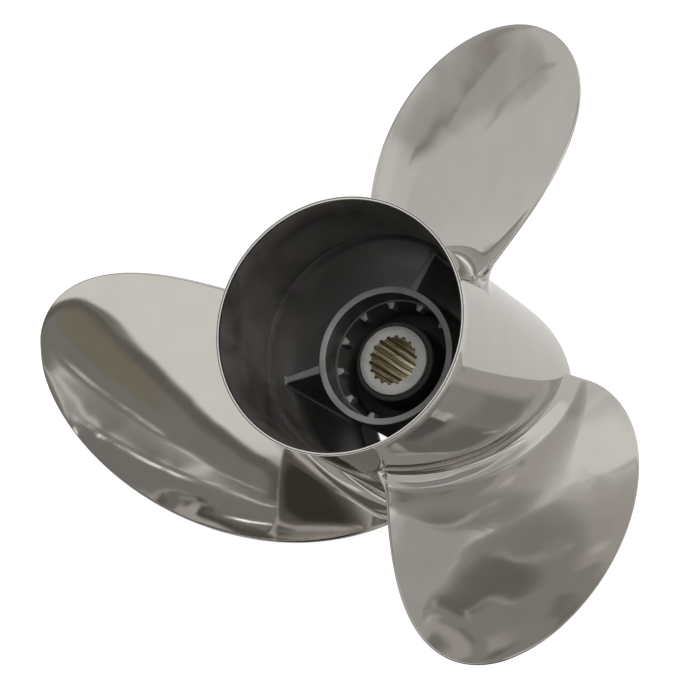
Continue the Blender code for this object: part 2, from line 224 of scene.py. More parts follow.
# On the walls a card is placed by azimuth and elevation in degrees
STUDIO_CARDS = (
    # Pale wall on the left, duller where the dark room begins
    Card(-150, 20, 60, 60, 30, 0, 1.07, PALE),
    Card(-85.5, 34.3, 4.5, 2.6, 5, 0, 0.60, PALE),
    # Grey screen behind, with a dark gap in it and a bright door beside it
    Card(141.3, 13.5, 20, 3.4, 1.8, 12, 0.57, PALE),
    Card(152.2, 9.0, 9, 5, 1.8, 26.6, 0.86, PALE),
    Card(143.6, 11.9, 4.6, 0.5, 1.3, 10, 0.37, BROWN),
    Card(127, 6.8, 1.8, 0.3, 0.8, 40, 0.50, BROWN),
    Card(158, 15.3, 4, 1.5, 1.5, 30, 0.93, PALE),
    # Grey screen on the right, with windows in it
    Card(-24, 10, 68, 17, 4, 0, 0.69, PALE),
    Card(46, 12, 16, 17, 10, 0, 1.0, PALE),
    Card(15, 12, 12, 6.5, 5, 0, 0.55, PALE),
    Card(-16, 13.4, 18, 4.6, 5, 0, 0.39, PALE),
    Card(-26, 20.4, 26, 3.0, 2.0, 6, 0.26, PALE),
    Card(-33, 13.1, 5.2, 0.9, 1.6, 21, 0.95, PALE),
    Card(-5, 9.4, 6, 1.2, 1.4, 22, 0.88, PALE),
    Card(-6.5, 5.4, 1.6, 0.5, 0.8, 0, 1.05, PALE),
    Card(0.5, 22.2, 3.6, 1.2, 1.8, 0, 1.3, PALE),
    Card(15, 0.5, 42, 2.6, 3, 0, 0.98, PALE),
    Card(-15.5, 0.5, 3.5, 1.3, 1.5, 0, 1.3, PALE),
    Card(-52, 2.6, 8, 1.4, 1.8, 0, 0.50, PALE),
    Card(-66.5, 9.4, 7, 1.1, 1.6, 17, 1.0, PALE),
    Card(-79, 6.4, 3, 1.0, 1.4, 0, 0.42, PALE),
    # Dark room on the side of the camera, greener at its left end
    Card(-97.5, 52.75, 60, 14, 2.0, -16.6, 0.29, WARM),
    Card(-103, 46.2, 12, 1.9, 2.5, 0, 0.27, OLIVE),
    Card(-98, 40.5, 16, 1.8, 2.6, -16.6, 0.19, BROWN),
    Card(-84, 35.9, 5, 2.0, 2.0, -16.6, 0.19, BROWN),
    Card(-72, 36.0, 9, 1.2, 2, 3, 0.16, BROWN),
    Card(-85, 22, 28, 8, 4, 0, 0.15, BROWN),
    Card(-68, 23.4, 5, 0.9, 1.2, 10, 0.42, PALE),
    Card(-117, 18.5, 23.5, 8.5, 5, 0, 0.50, PALE),
    Card(-140, 11, 9, 5, 4, 0, 0.34, BROWN),
    # Lamps in the dark room with a haze about them, the streaks on the left blade
    Card(-70, 42.4, 8, 0.9, 2.4, -12, 0.50, WARM),
    Card(-81.0, 44.75, 1.2, 0.3, 0.6, -18.4, 0.95, PALE),
    Card(-74.1, 42.6, 2.5, 0.25, 0.7, -18.4, 0.95, PALE),
    Card(-69.5, 40.0, 2.4, 0.3, 1.0, -42, 0.66, PALE),
    Card(-68.0, 42.2, 4.2, 0.3, 0.7, 2, 1.0, PALE),
    Card(-60.3, 42.4, 0.9, 0.2, 0.5, 0, 2.5, PALE),
    Card(-62.8, 41.2, 0.8, 0.4, 0.8, 0, 1.05, PALE),
    Card(-60.4, 38.9, 0.35, 1.9, 0.9, 46, 1.15, PALE),
    Card(-46.0, 37.6, 0.5, 0.7, 0.7, 0, 2.3, PALE),
    Card(-104.5, 24.7, 12, 0.8, 1.8, 22.5, 1.15, PALE),
)
# On the floor a card is placed by x and y in metres. These cards are painted shade and light,
# seen only in the polish's reflections of the floor
FLOOR_SHADE_AND_LIGHT_CARDS = (
    # Greyer floor behind on the left, and painted shade beside the hub
    Card(-4.85, 4.8, 5.0, 4.7, 0.12, 0, 0.785, PALE),
    Card(0.1, -0.03, 0.10, 0.12, 0.06, 0, 0.80, PALE),
    Card(0.03, 0.165, 0.06, 0.025, 0.03, 0, 0.45, PALE),
    # Painted shade on the floor of the dark room, darkest close to the left blade
    Card(-3.5, -2.5, 3.4, 2.4, 0.4, 0, 0.40, BROWN),
    Card(-0.70, -0.60, 0.65, 0.75, 0.12, 0, 0.28, BROWN),
    Card(-0.28, -0.34, 0.16, 0.34, 0.12, -14, 0.11, BROWN),
    Card(-0.115, -0.035, 0.06, 0.06, 0.04, 0, 0.20, BROWN),
    # Grey floor on the right, and a painted strip of bright light towards the camera
    Card(0.8, -0.65, 0.6, 0.3, 0.2, 0, 0.5, PALE),
    Card(0.17, -1.5, 0.30, 0.8, 0.2, 0, 1.55, PALE),
)

# Camera, where the photograph was taken from
CAMERA_PLACE = Vector((0.0382, -0.5135, 1.2195))
CAMERA_RIGHT = Vector((0.59583, -0.71446, -0.36679))
CAMERA_UP = Vector((0.80222, 0.55098, 0.22993))
LENS_MM = 131.7
SENSOR_MM = 36.0

# Each finish runs from its darker patches to its lighter ones
STEEL_TONES = ((0.50, 0.482, 0.462), (0.53, 0.512, 0.492))
RIM_TONES = ((0.66, 0.65, 0.63), (0.86, 0.85, 0.83))
CASTING_TONES = ((0.019, 0.0177, 0.0165), (0.060, 0.057, 0.054))
# The turned finish: real on the tube's rear face, painted light where faces of ribs, keys and the
# front lip look to the rear
TURNED_AND_LIT_TONES = ((0.10, 0.098, 0.096), (0.19, 0.188, 0.185))
SLEEVE_TONES = ((0.22, 0.215, 0.20), (0.40, 0.395, 0.38))
BRASS_TONES = ((0.30, 0.24, 0.11), (1.0, 0.92, 0.68))
RUBBER_TONES = ((0.006, 0.006, 0.006), (0.016, 0.0155, 0.015))
# Painted shade in the roots of the teeth, from where it starts to where it is full
ROOT_SHADE_COLOUR = (0.07, 0.052, 0.025)
ROOT_SHADE_SHARE = 0.8
ROOT_SHADE_START = TOOTH_TIP_RADIUS + 0.3 * MM
ROOT_SHADE_END = TOOTH_ROOT_RADIUS - 0.2 * MM


def blend(start, end, share):
    """Returns the value that lies a share of the way from start to end."""
    return start + (end - start) * share


def polynomial(values, t):
    """Returns the sum of values[n] times t to the power n."""
    return sum(value * t**n for n, value in enumerate(values))


def grid_skin(name, grid, wrap_rows, wrap_columns):
    """Makes a mesh from a grid of points, closed along either direction if asked.

    grid has shape (rows, columns, 3), and the faces look to the side from which
    rows run up when columns run to the right.
    """
    rows, columns = grid.shape[:2]
    index = np.arange(rows * columns).reshape(rows, columns)
    below = index if wrap_rows else index[:-1]
    above = np.roll(index, -1, axis=0) if wrap_rows else index[1:]
    left = slice(None) if wrap_columns else slice(None, -1)

    def right_of(block):
        return np.roll(block, -1, axis=1) if wrap_columns else block[:, 1:]

    quads = np.stack(
        [below[:, left], right_of(below), right_of(above), above[:, left]], axis=-1
    ).reshape(-1, 4)
    mesh = bpy.data.meshes.new(name)
    mesh.from_pydata(grid.reshape(-1, 3).tolist(), [], quads.tolist())
    mesh.update()
    return mesh


def add_piece(name, mesh, *materials, sharp_deg=40):
    """Links a mesh as a piece of the propeller, with its materials."""
    piece = bpy.data.objects.new(name, mesh)
    bpy.context.scene.collection.objects.link(piece)
    for material in materials:
        mesh.materials.append(material)
    mesh.shade_smooth()
    mesh.set_sharp_from_angle(angle=math.radians(sharp_deg))
    return piece


def stand_for(piece, slot, *nodes):
    """Fixes the piece to the propeller in place of the nodes that it dresses."""
    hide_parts(*nodes)
    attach(piece, "root")


def rounded_profile(corners, steps=6):
    """Returns a closed profile whose corners are rounded.

    corners holds (radius, height, rounding) in order. A rounding of 0 keeps the
    corner sharp.
    """
    points = []
    count = len(corners)
    for i, (x, z, rounding) in enumerate(corners):
        here = Vector((x, z))
        before = Vector(corners[i - 1][:2]) - here
        after = Vector(corners[(i + 1) % count][:2]) - here
        if rounding <= 0:
            points.append(here)
            continue
        reach = min(rounding, before.length * 0.45, after.length * 0.45)
        start = here + before.normalized() * reach
        end = here + after.normalized() * reach
        for step in range(steps + 1):
            share = step / steps
            turn = here * 2 * share * (1 - share)
            points.append(start * (1 - share) ** 2 + turn + end * share**2)
    return points


def finely_spaced(points):
    """Adds points to a profile's long sides, so that the shading stays true."""
    result = []
    for start, end in zip(points, points[1:] + points[:1]):
        pieces = max(1, math.ceil((end - start).length / LONGEST_SIDE))
        result += [start.lerp(end, i / pieces) for i in range(pieces)]
    return result


def lathe(name, profile, sides):
    """Turns a closed profile of (radius, height) points, given down its outer side."""
    angles = np.linspace(0, FULL_TURN, sides, endpoint=False)
    rings = [[(x * math.cos(a), x * math.sin(a), z) for a in angles] for x, z in profile[::-1]]
    return grid_skin(name, np.array(rings), True, True)


def hub_radius(height):
    """Returns the hub's outer radius: a straight band in front, then a slow taper."""
    share = max(0.0, height - HUB_FRONT_BAND) / (SEAM_Z - HUB_FRONT_BAND)
    return blend(HUB_FRONT_RADIUS, HUB_SEAM_RADIUS, min(share, 1.0))


# The finishes on the hub's turned profile
POLISHED, RIM, INSIDE, TURNED_AND_LIT = 0, 1, 2, 3


def flare(seam_radius, rim_radius):
    """Returns the points of a curve that opens from the hub's seam to its rim."""
    end_z = HUB_LENGTH - RIM_THICKNESS / 2
    points = []
    for i in range(FLARE_STEPS + 1):
        share = i / FLARE_STEPS
        radius = blend(seam_radius, rim_radius, share**FLARE_CURVE)
        points.append(Vector((radius, blend(SEAM_Z, end_z, share))))
    return points


def hub_shell():
    """Makes the outer hub with its flare, its rim, the step in its bore and its front lip."""
    lip = RIM_THICKNESS
    rim_inner = RIM_RADIUS - lip
    outer_flare = flare(HUB_SEAM_RADIUS, RIM_RADIUS)
    inner_flare = flare(HUB_REAR_BORE_RADIUS, rim_inner)
    middle = RIM_RADIUS - RIM_GROOVE_INSET
    groove = RIM_GROOVE_WIDTH / 2
    floor_z = HUB_LENGTH - RIM_GROOVE_DEPTH
    rim_top = rounded_profile(
        [
            (RIM_RADIUS, HUB_LENGTH - lip, 0),
            (RIM_RADIUS, HUB_LENGTH, RIM_ROUNDING),
            (middle + groove, HUB_LENGTH, GROOVE_ROUNDING),
            (middle + groove / 2, floor_z, GROOVE_FLOOR_ROUNDING),
            (middle - groove / 2, floor_z, GROOVE_FLOOR_ROUNDING),
            (middle - groove, HUB_LENGTH, GROOVE_ROUNDING),
            (rim_inner, HUB_LENGTH, RIM_ROUNDING),
            (rim_inner, HUB_LENGTH - lip, 0),
        ],
        4,
    )[1:-1]
    body = rounded_profile(
        [
            (HUB_FRONT_RADIUS, HUB_FRONT_BAND, 0),
            (HUB_FRONT_RADIUS, 0.0, FRONT_EDGE_ROUNDING),
            (FRONT_LIP_RADIUS, 0.0, 0.5 * MM),
            (FRONT_LIP_RADIUS, FRONT_LIP_LENGTH, 0.8 * MM),
            (HUB_BORE_RADIUS, FRONT_LIP_LENGTH, 1.5 * MM),
            (HUB_BORE_RADIUS, BORE_STEP_Z - 5 * MM, 4 * MM),
            (HUB_REAR_BORE_RADIUS, BORE_STEP_Z, 1.5 * MM),
        ]
    )
    profile = finely_spaced(outer_flare[::-1] + body + inner_flare + rim_top[::-1])
    mesh = lathe("hub_shell", profile, HUB_SIDES)
    for face in mesh.polygons:
        radius = math.hypot(face.center.x, face.center.y)
        outward = face.normal.x * face.center.x + face.normal.y * face.center.y
        if face.center.z > HUB_LENGTH - lip:
            sunk = face.center.z < HUB_LENGTH - RIM_GROOVE_DEPTH / 3
            in_groove = sunk and abs(radius - middle) < groove
            face.material_index = INSIDE if in_groove else RIM
        elif outward > 0.3 * radius and radius > HUB_SEAM_RADIUS - 1 * MM:
            face.material_index = POLISHED
        elif face.center.z < 1 * MM and radius > FRONT_LIP_RADIUS:
            face.material_index = RIM
        # The rear face of the front lip gets the lighter turned finish, painted light
        elif face.center.z < 5 * MM and face.normal.z > REAR_FACING:
            face.material_index = TURNED_AND_LIT
        else:
            face.material_index = INSIDE
    return mesh


def chord_stations(half_chord, nose):
    """Returns places across the chord, -1 behind to 1 in front, close at both noses."""
    turns = np.arange(NOSE_STEPS) / NOSE_STEPS * math.pi / 2
    start = -1 + (1 - np.cos(turns)) * nose / half_chord
    first = -1 + nose / half_chord
    even = np.linspace(-1, 1, CHORD_STEPS + 1)
    middle = -first * blend(even, np.sin(even * math.pi / 2), NOSE_GATHERING)
    return np.concatenate([start, middle, -start[::-1]])


def section(radius, growth, tip_rounding, fade):
    """Returns the closed outline of a blade section, as points on a cylinder.

    growth makes the section bigger for the fillet: all of it on the faces, a share
    of it at each edge. fade is 1 where the section follows the hub's taper and 0 where
    it keeps its own radius.
    """
    t = (radius - ROOT_RADIUS) / (TIP_RADIUS - ROOT_RADIUS)
    full = math.sqrt(max(0.0, 1 - t * t))
    plain_half = max(polynomial(HALF_CHORD, t) * full, LEAST_HALF_CHORD)
    half_chord = plain_half + growth * (REAR_FILLET_SHARE + FRONT_FILLET_SHARE) / 2
    shift = growth * (FRONT_FILLET_SHARE - REAR_FILLET_SHARE) / 2
    middle = polynomial(SKEW, t)
    pitch = polynomial(PITCH, t)
    height = polynomial(MID_HEIGHT, t)
    thickest = blend(ROOT_THICKNESS, TIP_THICKNESS, t**THINNING)
    nose = min(NOSE + growth * REAR_FILLET_SHARE, half_chord / 2)
    slope = math.hypot(radius, pitch)
    c = chord_stations(half_chord, nose)
    edge = blend(TRAILING_EDGE, LEADING_EDGE, (1 + c) / 2)
    from_end = (1 - np.abs(c)) * half_chord
    square = blend(TRAILING_SQUARENESS, ROUND_NOSE, min(1.0, growth / FILLET))
    power = np.where(c < 0, square, LEADING_SQUARENESS)
    past_nose = np.maximum(0, 1 - from_end / nose)
    rounding = np.maximum(0, 1 - past_nose**power) ** (1 / power) * tip_rounding
    thickness = edge + np.maximum(0, thickest - edge) * (1 - c * c)
    from_rear = (1 + c) * half_chord
    camber = -2 * CAMBER_SHARE * half_chord * (1 - c * c)
    cup = -CUP_DEPTH * (1 - np.exp(-from_rear / CUP_LENGTH)) * (1 - c) / 2
    centre = (camber + cup) * full + (FACE_SHARE - 0.5) * thickness
    edge_share = np.where(c < 0, REAR_FILLET_SHARE, FRONT_FILLET_SHARE)
    half = (thickness / 2 + growth * blend(1, edge_share, c * c)) * rounding
    along = np.concatenate([c, c[-2:0:-1]]) * half_chord + shift
    offset = np.concatenate([centre + half, (centre - half)[-2:0:-1]])
    angle = middle + along / radius + pitch / slope * offset / radius
    z = height - pitch * along / radius + radius / slope * offset
    taper = np.array([HUB_FRONT_RADIUS - hub_radius(value) for value in z])
    r = radius - taper * fade
    return np.stack([r * np.cos(angle), r * np.sin(angle), z], axis=-1)


def blade_grid():
    """Returns the points of a blade, from inside the hub's wall to the tip."""
    hub = HUB_FRONT_RADIUS
    stations = [(hub - ROOT_SUNK, FILLET + ROOT_SPREAD, 1.0)]
    for i in range(FILLET_STEPS + 1):
        turn = i / FILLET_STEPS * math.pi / 2
        growth = FILLET * (1 - math.sin(turn))
        height = FILLET_HEIGHT * (1 - math.cos(turn))
        stations.append((hub - FILLET_SUNK + height, growth, 1.0))
    top = stations[-1][0]
    span = TIP_RADIUS - ROOT_RADIUS
    first = math.asin((top - ROOT_RADIUS) / span)
    for i in range(1, SPAN_STEPS + 1):
        turn = blend(first, math.pi / 2, (i / SPAN_STEPS) ** ROOT_GATHERING)
        radius = ROOT_RADIUS + span * math.sin(turn)
        inside = min(1.0, (TIP_RADIUS - radius) / TIP_ROUNDING)
        stations.append((radius, 0.0, math.sqrt(max(0.0, 1 - (1 - inside) ** 2))))
    rings = []
    for radius, growth, rounding in stations:
        fade = max(0.0, 1 - max(0.0, radius - hub - FILLET_HEIGHT) / TAPER_FADE)
        rings.append(section(radius, growth, rounding, fade))
    return np.array(rings)


def leaf_skin(name, grid):
    """Makes a closed skin from outlines that run out on one side and back on the other.

    Each end is closed by strips across the outline, so that it keeps the outline's curve.
    """
    rows, columns = grid.shape[:2]
    mesh = grid_skin(name, grid, False, True)
    bm = bmesh.new()
    bm.from_mesh(mesh)
    bm.verts.ensure_lookup_table()
    for start in (0, (rows - 1) * columns):
        for i in range(columns // 2):
            corners = dict.fromkeys((i, i + 1, columns - i - 1, (columns - i) % columns))
            bm.faces.new([bm.verts[start + corner] for corner in corners])
    bmesh.ops.remove_doubles(bm, verts=bm.verts, dist=WELD_REACH)
    bmesh.ops.recalc_face_normals(bm, faces=bm.faces)
    bm.to_mesh(mesh)
    bm.free()
    return mesh


def close_ends(mesh):
    """Fills the open ends of a skin in place and joins points that lie together."""
    bm = bmesh.new()
    bm.from_mesh(mesh)
    bmesh.ops.remove_doubles(bm, verts=bm.verts, dist=WELD_REACH)
    open_edges = [edge for edge in bm.edges if edge.is_boundary]
    bmesh.ops.holes_fill(bm, edges=open_edges, sides=0)
    bmesh.ops.recalc_face_normals(bm, faces=bm.faces)
    bm.to_mesh(mesh)
    bm.free()


def turned_about(grid, angle):
    """Returns the points turned round the shaft."""
    turn = np.array(Matrix.Rotation(angle, 3, "Z"))
    return grid @ turn.T


def rib_grid():
    """Returns the points of a rib along +X: rounded rear edge, fillets at tube and hub."""
    rings = []
    inner = TUBE_REAR_RADIUS - RIB_SUNK
    outer = HUB_BORE_RADIUS + RIB_SUNK
    for i in range(RIB_STEPS + 1):
        share = 0.5 - 0.5 * math.cos(math.pi * i / RIB_STEPS)
        radius = blend(inner, outer, share)
        gap = min(radius - inner, outer - radius)
        close = max(0.0, 1 - gap / RIB_FILLET)
        growth = RIB_FILLET * (1 - math.sqrt(max(0.0, 1 - close**2)))
        half = blend(RIB_INNER_THICKNESS, RIB_OUTER_THICKNESS, share) / 2 + growth
        rear = blend(RIB_INNER_REAR_Z, RIB_OUTER_REAR_Z, share)
        outline = rounded_profile(
            [
                (half, rear, RIB_REAR_ROUNDING),
                (half, RIB_FRONT_Z, RIB_FRONT_ROUNDING),
                (-half, RIB_FRONT_Z, RIB_FRONT_ROUNDING),
                (-half, rear, RIB_REAR_ROUNDING),
            ]
        )
        rings.append([(math.sqrt(radius**2 - p.x**2), p.x, p.y) for p in outline])
    return np.array(rings)


def key_outline(shrink):
    """Returns the rounded outline of a key along +X, smaller all round by shrink."""
    base = TUBE_BORE_RADIUS + KEY_SUNK
    half_base = KEY_BASE_WIDTH / 2 - shrink
    half_tip = KEY_TIP_WIDTH / 2 - shrink
    tip = KEY_TIP_RADIUS + shrink
    corners = [
        (base, half_base, 0),
        (tip, half_tip, KEY_ROUNDING),
        (tip, -half_tip, KEY_ROUNDING),
        (base, -half_base, 0),
    ]
    return rounded_profile(corners, 4)


def key_grid():
    """Returns the points of one key, its rear end rounded over."""
    rings = [[(p.x, p.y, KEY_FRONT_Z) for p in key_outline(0.0)]]
    for from_end, shrink in KEY_END_STEPS:
        rings.append([(p.x, p.y, KEY_REAR_Z - from_end) for p in key_outline(shrink)])
    return np.array(rings)


def joined(name, meshes):
    """Joins meshes into one."""
    bm = bmesh.new()
    for mesh in meshes:
        bm.from_mesh(mesh)
        bpy.data.meshes.remove(mesh)
    mesh = bpy.data.meshes.new(name)
    bm.to_mesh(mesh)
    bm.free()
    return mesh


def tube_profile():
    """Returns the profile of the inner tube, with a groove and a step behind its keys."""
    return finely_spaced(
        rounded_profile(
            [
                (TUBE_REAR_RADIUS, TUBE_REAR_Z, 0.35 * MM),
                (TUBE_FRONT_RADIUS, TUBE_FRONT_Z, 0.5 * MM),
                (TUBE_BORE_RADIUS, TUBE_FRONT_Z, 0.4 * MM),
                (TUBE_BORE_RADIUS, TUBE_STEP_Z, 0.25 * MM),
                (TUBE_MOUTH_RADIUS, TUBE_STEP_Z + 0.3 * MM, 0.2 * MM),
                (TUBE_MOUTH_RADIUS, TUBE_REAR_Z, 0.3 * MM),
            ],
            5,
        )
    )


def bush_profile():
    """Returns the profile of the rubber bush, with soft corners and a collar at both ends."""
    bore = SLEEVE_RADIUS + 0.02 * MM
    return finely_spaced(
        rounded_profile(
            [
                (COLLAR_RADIUS, COLLAR_REAR_Z, 1.2 * MM),
                (COLLAR_RADIUS, BUSH_REAR_Z, 2.0 * MM),
                (BUSH_RADIUS, BUSH_REAR_Z - 2.5 * MM, 1.5 * MM),
                (BUSH_RADIUS, BUSH_FRONT_Z, 1.5 * MM),
                (COLLAR_RADIUS, BUSH_FRONT_Z, 2.0 * MM),
                (COLLAR_RADIUS, COLLAR_FRONT_Z, 1.0 * MM),
                (bore, COLLAR_FRONT_Z, 0.6 * MM),
                (bore, COLLAR_REAR_Z, 0.6 * MM),
            ]
        )
    )


def tooth_radius(angle):
    """Returns the radius of the splined hole at an angle, with sloping flanks."""
    pitch = FULL_TURN / TEETH
    place = ((angle - math.radians(TOOTH_ANGLE_DEG)) / pitch + 0.5) % 1.0 - 0.5
    share = (abs(place) - HALF_TOOTH_TIP) / (HALF_TOOTH_FOOT - HALF_TOOTH_TIP)
    share = min(1.0, max(0.0, share))
    share = share * share * (3 - 2 * share)
    return blend(TOOTH_TIP_RADIUS, TOOTH_ROOT_RADIUS, share)


def sleeve_mesh():
    """Makes the sleeve: faced rear end, chamfered splined hole, plain hole in front."""
    sides = TEETH * SIDES_PER_TOOTH
    angles = [FULL_TURN * i / sides for i in range(sides)]
    rear, front = SLEEVE_REAR_Z, SLEEVE_FRONT_Z
    outer = rounded_profile(
        [
            (SLEEVE_RADIUS, rear, SLEEVE_CHAMFER),
            (SLEEVE_RADIUS, front, 0.6 * MM),
            (COUNTERBORE_RADIUS, front, 0.5 * MM),
        ],
        5,
    )
    ledge = front + COUNTERBORE_DEPTH
    rings = [[(p.x, p.y)] * sides for p in outer]
    rings.append([(COUNTERBORE_RADIUS, ledge)] * sides)
    rings.append([(TOOTH_ROOT_RADIUS + 0.3 * MM, ledge + 1.2 * MM)] * sides)
    # The teeth run from the plain hole to the rear face, where the mouth is chamfered
    levels = [ledge + 1.4 * MM, ledge + 3 * MM]
    levels += [blend(ledge + 3 * MM, rear - 1.6 * MM, i / 20) for i in range(1, 21)]
    levels += [rear - MOUTH_CHAMFER, rear]
    for z in levels:
        cone = TOOTH_TIP_RADIUS + MOUTH_CHAMFER - (rear - z)
        ring = []
        for angle in angles:
            radius = tooth_radius(angle)
            ring.append((max(radius, min(cone, TOOTH_ROOT_RADIUS)), z))
        rings.append(ring)
    mouth = TOOTH_ROOT_RADIUS + 0.4 * MM
    for share in (0.0, 0.35, 0.7):
        rings.append([(blend(mouth, SLEEVE_RADIUS - SLEEVE_CHAMFER, share), rear)] * sides)
    points = []
    for ring in rings[::-1]:
        points.append([(r * math.cos(a), r * math.sin(a), z) for (r, z), a in zip(ring, angles)])
    mesh = grid_skin("sleeve_body", np.array(points), True, True)
    for face in mesh.polygons:
        radius = math.hypot(face.center.x, face.center.y)
        beside_mouth = face.center.z > rear - MOUTH_CHAMFER and radius > mouth
        on_face = face.center.z > rear - 0.1 * MM or beside_mouth
        outside = radius > COUNTERBORE_RADIUS + 0.3 * MM
        face.material_index = 0 if on_face or outside else 1
    return mesh


def new_material(name):
    """Makes an empty node material and returns it with its nodes, links and shader."""
    material = bpy.data.materials.new(name)
    material.use_nodes = True
    tree = material.node_tree
    shader = tree.nodes["Principled BSDF"]
    return material, tree, shader


def build_groups():
    """Makes the shader node groups that the materials share."""
    return {
        "hand_polish": hand_polish_group(),
        "cast_skin": cast_skin_group(),
        "turning_rings": turning_rings_group(),
    }


def group_tree(name, inputs, outputs):
    """Makes a node group with named sockets and returns it with its end nodes."""
    tree = bpy.data.node_groups.new(name, "ShaderNodeTree")
    for label, default in inputs.items():
        socket = tree.interface.new_socket(label, in_out="INPUT", socket_type="NodeSocketFloat")
        socket.default_value = default
    for label, kind in outputs.items():
        tree.interface.new_socket(label, in_out="OUTPUT", socket_type=kind)
    return tree, tree.nodes.new("NodeGroupInput"), tree.nodes.new("NodeGroupOutput")


def place_node(tree, kind, **settings):
    """Adds a node and sets its properties."""
    node = tree.nodes.new(kind)
    for label, value in settings.items():
        setattr(node, label, value)
    return node


def math_node(tree, operation, first, second=0.0):
    """Adds a maths node; first and second are sockets or numbers. Returns its output."""
    node = place_node(tree, "ShaderNodeMath", operation=operation)
    for socket, value in zip(node.inputs, (first, second)):
        if isinstance(value, (int, float)):
            socket.default_value = value
        else:
            tree.links.new(value, socket)
    return node.outputs[0]


def noise(tree, vector, scale, detail=3.0, roughness=0.5, distortion=0.0):
    """Adds a noise texture on a vector and returns its value output."""
    node = place_node(tree, "ShaderNodeTexNoise")
    if isinstance(scale, (int, float)):
        node.inputs["Scale"].default_value = scale
    else:
        tree.links.new(scale, node.inputs["Scale"])
    node.inputs["Detail"].default_value = detail
    node.inputs["Roughness"].default_value = roughness
    node.inputs["Distortion"].default_value = distortion
    tree.links.new(vector, node.inputs["Vector"])
    return node.outputs["Fac"]


def stretched(tree, vector, scale):
    """Returns the vector scaled by three numbers."""
    node = place_node(tree, "ShaderNodeMapping")
    node.inputs["Scale"].default_value = scale
    tree.links.new(vector, node.inputs["Vector"])
    return node.outputs[0]


def hand_polish_group():
    """Long soft waves and fine wheel marks of hand-polished steel."""
    tree, start, end = group_tree(
        "hand_polish",
        {"Wave Scale": 30.0, "Mark Depth": 0.1},
        {"Height": "NodeSocketFloat", "Cloud": "NodeSocketFloat"},
    )
    place = place_node(tree, "ShaderNodeTexCoord").outputs["Object"]
    waves = noise(tree, place, start.outputs["Wave Scale"], 1.5, 0.4, 0.3)
    marks = noise(tree, stretched(tree, place, (900, 900, 120)), 1.0, 4.0, 0.6)
    cloud = noise(tree, place, 55.0, 4.0, 0.55)
    fine = math_node(tree, "MULTIPLY", marks, start.outputs["Mark Depth"])
    tree.links.new(math_node(tree, "ADD", waves, fine), end.inputs["Height"])
    tree.links.new(cloud, end.inputs["Cloud"])
    return tree


def cast_skin_group():
    """Grain and pits of an unpolished casting."""
    tree, start, end = group_tree(
        "cast_skin",
        {"Grain Scale": 700.0},
        {"Height": "NodeSocketFloat", "Patches": "NodeSocketFloat"},
    )
    place = place_node(tree, "ShaderNodeTexCoord").outputs["Object"]
    grain = noise(tree, place, start.outputs["Grain Scale"], 5.0, 0.65)
    patches = noise(tree, place, 35.0, 4.0, 0.6, 0.6)
    tree.links.new(grain, end.inputs["Height"])
    tree.links.new(patches, end.inputs["Patches"])
    return tree


def distance_from_shaft(tree, place):
    """Returns the distance of a place from the shaft's axis, and its height."""
    split = place_node(tree, "ShaderNodeSeparateXYZ")
    tree.links.new(place, split.inputs[0])
    x, y, z = split.outputs
    squares = [math_node(tree, "MULTIPLY", side, side) for side in (x, y)]
    return math_node(tree, "SQRT", math_node(tree, "ADD", *squares)), z


def turning_rings_group():
    """Fine rings that a lathe tool leaves round the shaft's axis."""
    tree, start, end = group_tree(
        "turning_rings",
        {"Rings per Metre": 2600.0},
        {"Height": "NodeSocketFloat", "Rings": "NodeSocketFloat"},
    )
    place = place_node(tree, "ShaderNodeTexCoord").outputs["Object"]
    radius, height = distance_from_shaft(tree, place)
    along = math_node(tree, "ADD", radius, math_node(tree, "MULTIPLY", height, 0.7))
    count = math_node(tree, "MULTIPLY", along, start.outputs["Rings per Metre"])
    lines = place_node(tree, "ShaderNodeTexNoise", noise_dimensions="1D")
    lines.inputs["Scale"].default_value = 1.0
    lines.inputs["Detail"].default_value = 3.0
    tree.links.new(count, lines.inputs["W"])
    tree.links.new(lines.outputs["Fac"], end.inputs["Height"])
    tree.links.new(lines.outputs["Fac"], end.inputs["Rings"])
    return tree


def use_group(tree, group, **values):
    """Places a node group in a material with its own values."""
    node = place_node(tree, "ShaderNodeGroup", node_tree=group)
    for label, value in values.items():
        node.inputs[label.replace("_", " ")].default_value = value
    return node


def bump(tree, height, distance):
    """Adds a bump node whose height is counted in the distance given."""
    node = place_node(tree, "ShaderNodeBump")
    node.inputs["Strength"].default_value = 1.0
    node.inputs["Distance"].default_value = distance
    tree.links.new(height, node.inputs["Height"])
    return node.outputs["Normal"]


def spread(tree, value, low, high, start=0.3, end=0.7):
    """Maps a mask from start..end to low..high."""
    node = place_node(tree, "ShaderNodeMapRange")
    ends = {"From Min": start, "From Max": end, "To Min": low, "To Max": high}
    for label, number in ends.items():
        node.inputs[label].default_value = number
    tree.links.new(value, node.inputs["Value"])
    return node.outputs[0]


def two_tones(tree, mask, first, second):
    """Mixes two colours by a mask and returns the colour."""
    node = place_node(tree, "ShaderNodeMix", data_type="RGBA")
    node.inputs["A"].default_value = (*first, 1)
    node.inputs["B"].default_value = (*second, 1)
    tree.links.new(mask, node.inputs["Factor"])
    return node.outputs["Result"]


def vary(tree, shader, tone_mask, tones, rough_mask, roughness, height, relief):
    """Links a material's colour, roughness and relief to the masks that vary them."""
    colour = two_tones(tree, spread(tree, tone_mask, 0, 1), *tones)
    tree.links.new(colour, shader.inputs["Base Color"])
    tree.links.new(spread(tree, rough_mask, *roughness), shader.inputs["Roughness"])
    tree.links.new(bump(tree, height, relief), shader.inputs["Normal"])


